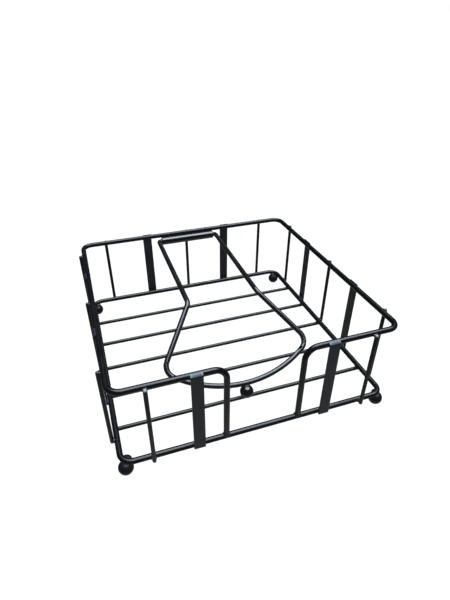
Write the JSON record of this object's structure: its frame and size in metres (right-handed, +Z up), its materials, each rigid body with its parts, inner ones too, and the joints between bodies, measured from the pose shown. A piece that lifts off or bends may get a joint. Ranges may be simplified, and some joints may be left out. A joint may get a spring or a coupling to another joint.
{
  "type": "napkin holder",
  "caption": "Open square wire basket on ball feet for a stack of folded napkins, with a hand cut-out in front and a hinged wire arm whose ball weight holds the stack down.",
  "frame": {"origin": "on the table, under the centre of the basket", "axes": "+Z up, -Y is the front with the hand cut-out, +Y the back with the hinge, +X to the right seen from the front"},
  "size_m": [0.1994, 0.1994, 0.0738],
  "materials": {
    "rail": "satin black powder coat",
    "thin_wire": "satin black powder coat",
    "strip": "satin black powder coat",
    "tube": "satin black powder coat",
    "arm": "satin black powder coat",
    "ball": "smooth satin black powder coat"
  },
  "bodies": {
    "basket": {"bottom_rail": "rail", "top_rail": "rail", "hinge_tube": "tube", "floor_wire_1": "thin_wire", "floor_wire_2": "thin_wire", "floor_wire_3": "thin_wire", "floor_wire_4": "thin_wire", "floor_wire_5": "thin_wire", "front_wire_left": "thin_wire", "front_strip_left": "strip", "back_wire_left": "thin_wire", "back_strip_left": "strip", "left_wire_middle": "thin_wire", "left_wire_front": "thin_wire", "left_strip_front": "strip", "foot_front_left": "ball", "left_wire_back": "thin_wire", "left_strip_back": "strip", "foot_back_left": "ball", "front_wire_right": "thin_wire", "front_strip_right": "strip", "back_wire_right": "thin_wire", "back_strip_right": "strip", "right_wire_middle": "thin_wire", "right_wire_front": "thin_wire", "right_strip_front": "strip", "foot_front_right": "ball", "right_wire_back": "thin_wire", "right_strip_back": "strip", "foot_back_right": "ball", "back_wire_middle": "thin_wire"},
    "arm": {"hold_down_arm": "arm", "arm_weight": "ball"}
  },
  "joints": [
    {"name": "arm_lift", "type": "hinge", "parent": "basket", "child": "arm", "pos_m": [0, 0.0932, 0.06647], "axis": [-1, 0, 0], "range_deg": [0, 45]}
  ]
}
